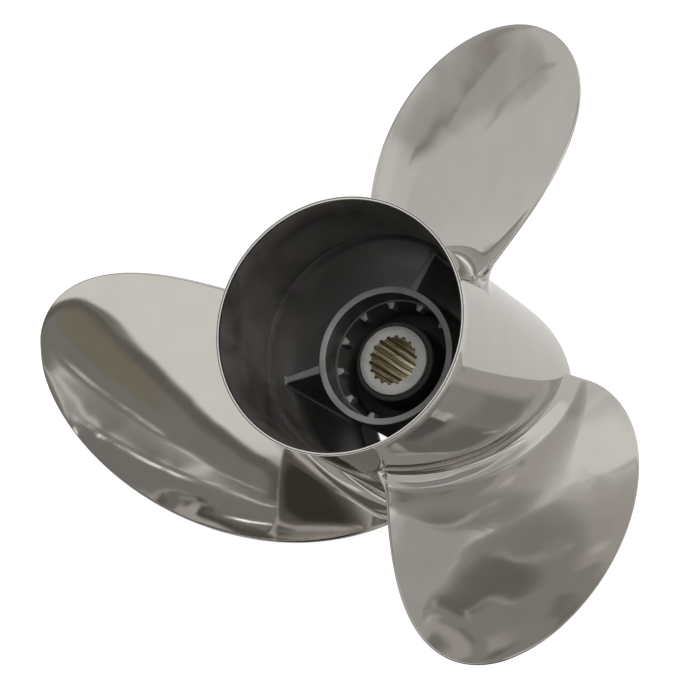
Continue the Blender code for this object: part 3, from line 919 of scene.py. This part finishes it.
def polished_steel(groups):
    """Stainless steel, wheel polished by hand."""
    material, tree, shader = new_material("polished_steel")
    polish = use_group(tree, groups["hand_polish"], Wave_Scale=26.0, Mark_Depth=0.01)
    cloud, height = polish.outputs["Cloud"], polish.outputs["Height"]
    shader.inputs["Metallic"].default_value = 1.0
    vary(tree, shader, cloud, STEEL_TONES, cloud, (0.035, 0.07), height, 0.25 * MM)
    # From the fourth surface of a mirrored path on, the steel glows with the room's mean colour,
    # a painted reflection, so that the narrow fillets at the blades' roots stay bright
    path = place_node(tree, "ShaderNodeLightPath")
    deep = math_node(tree, "GREATER_THAN", path.outputs["Ray Depth"], 2.5)
    glow = two_tones(tree, deep, (0, 0, 0), MEAN_OF_ROOM)
    tree.links.new(glow, shader.inputs["Emission Color"])
    shader.inputs["Emission Strength"].default_value = 1.0
    return material


def rim_steel(groups):
    """Bright worn edge of the rim and the faced front end."""
    material, tree, shader = new_material("rim_steel")
    turning = use_group(tree, groups["turning_rings"], Rings_per_Metre=4000.0)
    rings, height = turning.outputs["Rings"], turning.outputs["Height"]
    shader.inputs["Metallic"].default_value = 1.0
    vary(tree, shader, rings, RIM_TONES, rings, (0.2, 0.35), height, 0.01 * MM)
    return material


def dark_casting(groups):
    """Dark unpolished inside of the hub."""
    material, tree, shader = new_material("dark_casting")
    skin = use_group(tree, groups["cast_skin"], Grain_Scale=900.0)
    patches, height = skin.outputs["Patches"], skin.outputs["Height"]
    shader.inputs["Metallic"].default_value = 0.2
    vary(tree, shader, patches, CASTING_TONES, patches, (0.42, 0.55), height, 0.05 * MM)
    return material


def turned_face(groups, name, metallic, rings_per_metre, tones, roughness):
    """Patchy steel with the fine rings of a lathe tool in it."""
    material, tree, shader = new_material(name)
    turning = use_group(tree, groups["turning_rings"], Rings_per_Metre=rings_per_metre)
    rings, height = turning.outputs["Rings"], turning.outputs["Height"]
    patches = use_group(tree, groups["cast_skin"]).outputs["Patches"]
    shader.inputs["Metallic"].default_value = metallic
    vary(tree, shader, patches, tones, rings, roughness, height, 0.02 * MM)
    return material


def broached_brass():
    """Dull brass with the lines that the broach leaves along the teeth, and painted shade that
    darkens the roots of the teeth.
    """
    material, tree, shader = new_material("broached_brass")
    place = place_node(tree, "ShaderNodeTexCoord").outputs["Object"]
    lines = noise(tree, stretched(tree, place, (1300, 1300, 40)), 1.0, 3.0, 0.6)
    radius, _ = distance_from_shaft(tree, place)
    shader.inputs["Metallic"].default_value = 0.85
    bare = two_tones(tree, spread(tree, lines, 0, 1, 0.42, 0.60), *BRASS_TONES)
    # Painted shade: the colour darkens towards the roots of the teeth
    root_shade_mask = spread(tree, radius, 0, ROOT_SHADE_SHARE, ROOT_SHADE_START, ROOT_SHADE_END)
    root_shade_mix = place_node(tree, "ShaderNodeMix", data_type="RGBA")
    root_shade_mix.inputs["B"].default_value = (*ROOT_SHADE_COLOUR, 1)
    tree.links.new(bare, root_shade_mix.inputs["A"])
    tree.links.new(root_shade_mask, root_shade_mix.inputs["Factor"])
    tree.links.new(root_shade_mix.outputs["Result"], shader.inputs["Base Color"])
    tree.links.new(spread(tree, lines, 0.22, 0.40), shader.inputs["Roughness"])
    tree.links.new(bump(tree, lines, 0.03 * MM), shader.inputs["Normal"])
    return material


def black_rubber(groups):
    """Moulded rubber, dusty on its faces."""
    material, tree, shader = new_material("black_rubber")
    skin = use_group(tree, groups["cast_skin"], Grain_Scale=1500.0)
    patches, height = skin.outputs["Patches"], skin.outputs["Height"]
    vary(tree, shader, patches, RUBBER_TONES, patches, (0.5, 0.7), height, 0.04 * MM)
    return material


def make_camera():
    """Places the camera where the photograph was taken from."""
    data = bpy.data.cameras.new("camera")
    data.lens = LENS_MM
    data.sensor_width = SENSOR_MM
    data.clip_start = 0.01
    data.clip_end = 50
    camera = bpy.data.objects.new("camera", data)
    bpy.context.scene.collection.objects.link(camera)
    back = CAMERA_RIGHT.cross(CAMERA_UP)
    turn = Matrix((CAMERA_RIGHT, CAMERA_UP, back)).transposed()
    camera.matrix_world = Matrix.Translation(CAMERA_PLACE) @ turn.to_4x4()
    bpy.context.scene.camera = camera


def soft_card_group():
    """A rectangle with soft edges on the studio's walls, as a mask over two coordinates."""
    tree, start, end = group_tree(
        "soft_card",
        {
            "Across": 0.0,
            "Up": 0.0,
            "Middle Across": 0.0,
            "Middle Up": 0.0,
            "Half Width": 10.0,
            "Half Height": 10.0,
            "Edge": 1.0,
            "Turn": 0.0,
        },
        {"Mask": "NodeSocketFloat"},
    )
    dx = math_node(tree, "SUBTRACT", start.outputs["Across"], start.outputs["Middle Across"])
    dy = math_node(tree, "SUBTRACT", start.outputs["Up"], start.outputs["Middle Up"])
    cosine = math_node(tree, "COSINE", start.outputs["Turn"])
    sine = math_node(tree, "SINE", start.outputs["Turn"])
    dx_cosine, dx_sine = (math_node(tree, "MULTIPLY", dx, side) for side in (cosine, sine))
    dy_cosine, dy_sine = (math_node(tree, "MULTIPLY", dy, side) for side in (cosine, sine))
    u = math_node(tree, "ADD", dx_cosine, dy_sine)
    v = math_node(tree, "SUBTRACT", dy_cosine, dx_sine)
    masks = []
    for place, half in ((u, "Half Width"), (v, "Half Height")):
        from_middle = math_node(tree, "ABSOLUTE", place)
        inside = math_node(tree, "SUBTRACT", start.outputs[half], from_middle)
        share = math_node(tree, "DIVIDE", inside, start.outputs["Edge"])
        ramp = place_node(tree, "ShaderNodeMapRange", interpolation_type="SMOOTHSTEP")
        ramp.inputs["From Min"].default_value = -0.5
        ramp.inputs["From Max"].default_value = 0.5
        tree.links.new(share, ramp.inputs["Value"])
        masks.append(ramp.outputs[0])
    tree.links.new(math_node(tree, "MULTIPLY", *masks), end.inputs["Mask"])
    return tree


def hang_cards(tree, group, cards, across, up, colour):
    """Lays the cards over a colour in order and returns the colour that results."""
    for card in cards:
        mask = use_group(
            tree,
            group,
            Middle_Across=card.across,
            Middle_Up=card.up,
            Half_Width=card.half_width,
            Half_Height=card.half_height,
            Edge=card.edge,
            Turn=math.radians(card.turn),
        )
        tree.links.new(across, mask.inputs["Across"])
        tree.links.new(up, mask.inputs["Up"])
        mix = place_node(tree, "ShaderNodeMix", data_type="RGBA")
        tree.links.new(mask.outputs["Mask"], mix.inputs["Factor"])
        tree.links.new(colour, mix.inputs["A"])
        mix.inputs["B"].default_value = (*(card.brightness * tint for tint in card.tint), 1)
        colour = mix.outputs["Result"]
    return colour


def plain_colour(tree, colour):
    """Adds a colour and returns its output."""
    node = place_node(tree, "ShaderNodeRGB")
    node.outputs[0].default_value = (*colour, 1)
    return node.outputs[0]


def make_floor(cards):
    """Makes the pale floor, which glows a little so that it stays white in shadow.

    From below it is clear, so that the front end of the hub can be looked at.
    """
    mesh = bpy.data.meshes.new("floor")
    half = FLOOR_HALF_WIDTH
    corners = [(-half, -half, 0), (half, -half, 0), (half, half, 0), (-half, half, 0)]
    mesh.from_pydata(corners, [], [(0, 1, 2, 3)])
    floor = bpy.data.objects.new("floor", mesh)
    floor.location.z = -0.1 * MM
    bpy.context.scene.collection.objects.link(floor)
    material, tree, shader = new_material("floor")
    place = place_node(tree, "ShaderNodeSeparateXYZ")
    tree.links.new(place_node(tree, "ShaderNodeTexCoord").outputs["Object"], place.inputs[0])
    path = place_node(tree, "ShaderNodeLightPath")
    x, y, _ = place.outputs
    plain = plain_colour(tree, FLOOR_MIRRORED)
    # To glossy rays the floor shows only a glow of the plain colour under the cards' painted
    # shade and light
    mirrored = hang_cards(tree, cards, FLOOR_SHADE_AND_LIGHT_CARDS, x, y, plain)
    shader.inputs["Base Color"].default_value = (*FLOOR_COLOUR, 1)
    shader.inputs["Roughness"].default_value = 0.9
    shader.inputs["Specular IOR Level"].default_value = 0.0
    shader.inputs["Emission Color"].default_value = (1, 1, 1, 1)
    shader.inputs["Emission Strength"].default_value = FLOOR_GLOW
    glow = place_node(tree, "ShaderNodeEmission")
    tree.links.new(mirrored, glow.inputs["Color"])
    clear = place_node(tree, "ShaderNodeBsdfTransparent")
    below = place_node(tree, "ShaderNodeNewGeometry").outputs["Backfacing"]
    surface = shader.outputs[0]
    mirror = path.outputs["Is Glossy Ray"]
    for mask, other in ((mirror, glow.outputs[0]), (below, clear.outputs[0])):
        mix = place_node(tree, "ShaderNodeMixShader")
        tree.links.new(mask, mix.inputs[0])
        tree.links.new(surface, mix.inputs[1])
        tree.links.new(other, mix.inputs[2])
        surface = mix.outputs[0]
    tree.links.new(surface, tree.nodes["Material Output"].inputs["Surface"])
    mesh.materials.append(material)


def make_world(cards):
    """Makes the studio's walls, pale to the eye, with cards that the polish mirrors."""
    world = bpy.data.worlds.new("studio")
    bpy.context.scene.world = world
    world.use_nodes = True
    tree = world.node_tree
    split = place_node(tree, "ShaderNodeSeparateXYZ")
    tree.links.new(place_node(tree, "ShaderNodeTexCoord").outputs["Generated"], split.inputs[0])
    x, y, z = split.outputs
    azimuth = math_node(tree, "DEGREES", math_node(tree, "ARCTAN2", y, x))
    elevation = math_node(tree, "DEGREES", math_node(tree, "ARCSINE", z))
    walls = plain_colour(tree, WALL_COLOUR)
    seen = hang_cards(tree, cards, STUDIO_CARDS, azimuth, elevation, walls)
    path = place_node(tree, "ShaderNodeLightPath")
    for ray, colour in (("Is Camera Ray", BACKDROP_COLOUR), ("Is Diffuse Ray", AMBIENT_COLOUR)):
        mix = place_node(tree, "ShaderNodeMix", data_type="RGBA")
        tree.links.new(path.outputs[ray], mix.inputs["Factor"])
        tree.links.new(seen, mix.inputs["A"])
        mix.inputs["B"].default_value = (*colour, 1)
        seen = mix.outputs["Result"]
    background = tree.nodes["Background"]
    tree.links.new(seen, background.inputs["Color"])
    background.inputs["Strength"].default_value = 1.0


def make_lights():
    """Places the soft lamps."""
    for name, place, size, power in LAMPS:
        data = bpy.data.lights.new(name, "AREA")
        data.size = size
        data.energy = power
        lamp = bpy.data.objects.new(name, data)
        lamp.location = place
        aim = LAMP_TARGET - Vector(place)
        lamp.rotation_euler = aim.to_track_quat("-Z", "Y").to_euler()
        lamp.visible_glossy = False
        bpy.context.scene.collection.objects.link(lamp)


def make_propeller():
    """Makes the visible pieces and puts them in place of the plain solids."""
    groups = build_groups()
    polished = polished_steel(groups)
    rim = rim_steel(groups)
    casting = dark_casting(groups)
    # Lighter turned finish: real on the tube's rear face, painted light on faces of ribs, keys
    # and the front lip that look to the rear
    turned = turned_face(groups, "turned_steel", 0.3, 3000.0, TURNED_AND_LIT_TONES, (0.38, 0.52))
    faced = turned_face(groups, "sleeve_face", 0.4, 5000.0, SLEEVE_TONES, (0.4, 0.55))
    brass = broached_brass()
    rubber = black_rubber(groups)

    hub = add_piece("hub_shell", hub_shell(), polished, rim, casting, turned)
    stand_for(hub, "polished_steel", "hub_barrel", "flare_ring")

    grid = blade_grid()
    for i in range(BLADES):
        angle = math.radians(BLADE_ANGLE_DEG) + i * FULL_TURN / BLADES
        mesh = leaf_skin(f"blade_skin_{i + 1}", turned_about(grid, angle))
        blade = add_piece(f"blade_skin_{i + 1}", mesh, polished, sharp_deg=60)
        stand_for(blade, "polished_steel", f"blade_{i + 1}")

    ribs = rib_grid()
    for i in range(RIBS):
        angle = math.radians(RIB_ANGLE_DEG) + i * FULL_TURN / RIBS
        mesh = grid_skin(f"rib_skin_{i + 1}", turned_about(ribs, angle), False, True)
        close_ends(mesh)
        rib = add_piece(f"rib_skin_{i + 1}", mesh, casting, turned, sharp_deg=60)
        # Faces of a rib that look to the rear get the lighter turned finish, painted light
        for face in mesh.polygons:
            face.material_index = 1 if face.normal.z > REAR_FACING else 0
        stand_for(rib, "cast_steel", f"rib_{i + 1}")

    tube = add_piece("tube_skin", lathe("tube_skin", tube_profile(), TUBE_SIDES), turned, casting)
    for face in tube.data.polygons:
        face.material_index = 0 if face.center.z > TUBE_REAR_Z - TURNED_FACE_DEPTH else 1
    stand_for(tube, "turned_steel", "inner_hub_tube")

    keys = []
    for i in range(KEY_COUNT):
        angle = math.radians(KEY_ANGLE_DEG) + i * FULL_TURN / KEY_COUNT
        key = grid_skin("key", turned_about(key_grid(), angle), False, True)
        close_ends(key)
        keys.append(key)
    key_piece = add_piece("keys", joined("keys", keys), casting, turned, sharp_deg=50)
    # Key faces that look to the rear get the lighter turned finish, painted light
    for face in key_piece.data.polygons:
        face.material_index = 1 if face.normal.z > KEY_REAR_FACING else 0
    stand_for(key_piece, "cast_steel", *[f"key_{i + 1:02d}" for i in range(KEY_COUNT)])

    bush = add_piece("bush_skin", lathe("bush_skin", bush_profile(), BUSH_SIDES), rubber)
    stand_for(bush, "black_rubber", "rubber_bush")

    sleeve = add_piece("sleeve_skin", sleeve_mesh(), faced, brass, sharp_deg=30)
    stand_for(sleeve, "brass", "splined_sleeve")


make_camera()
card_group = soft_card_group()
make_floor(card_group)
make_world(card_group)
make_lights()
make_propeller()
bpy.context.scene.view_settings.view_transform = "Standard"
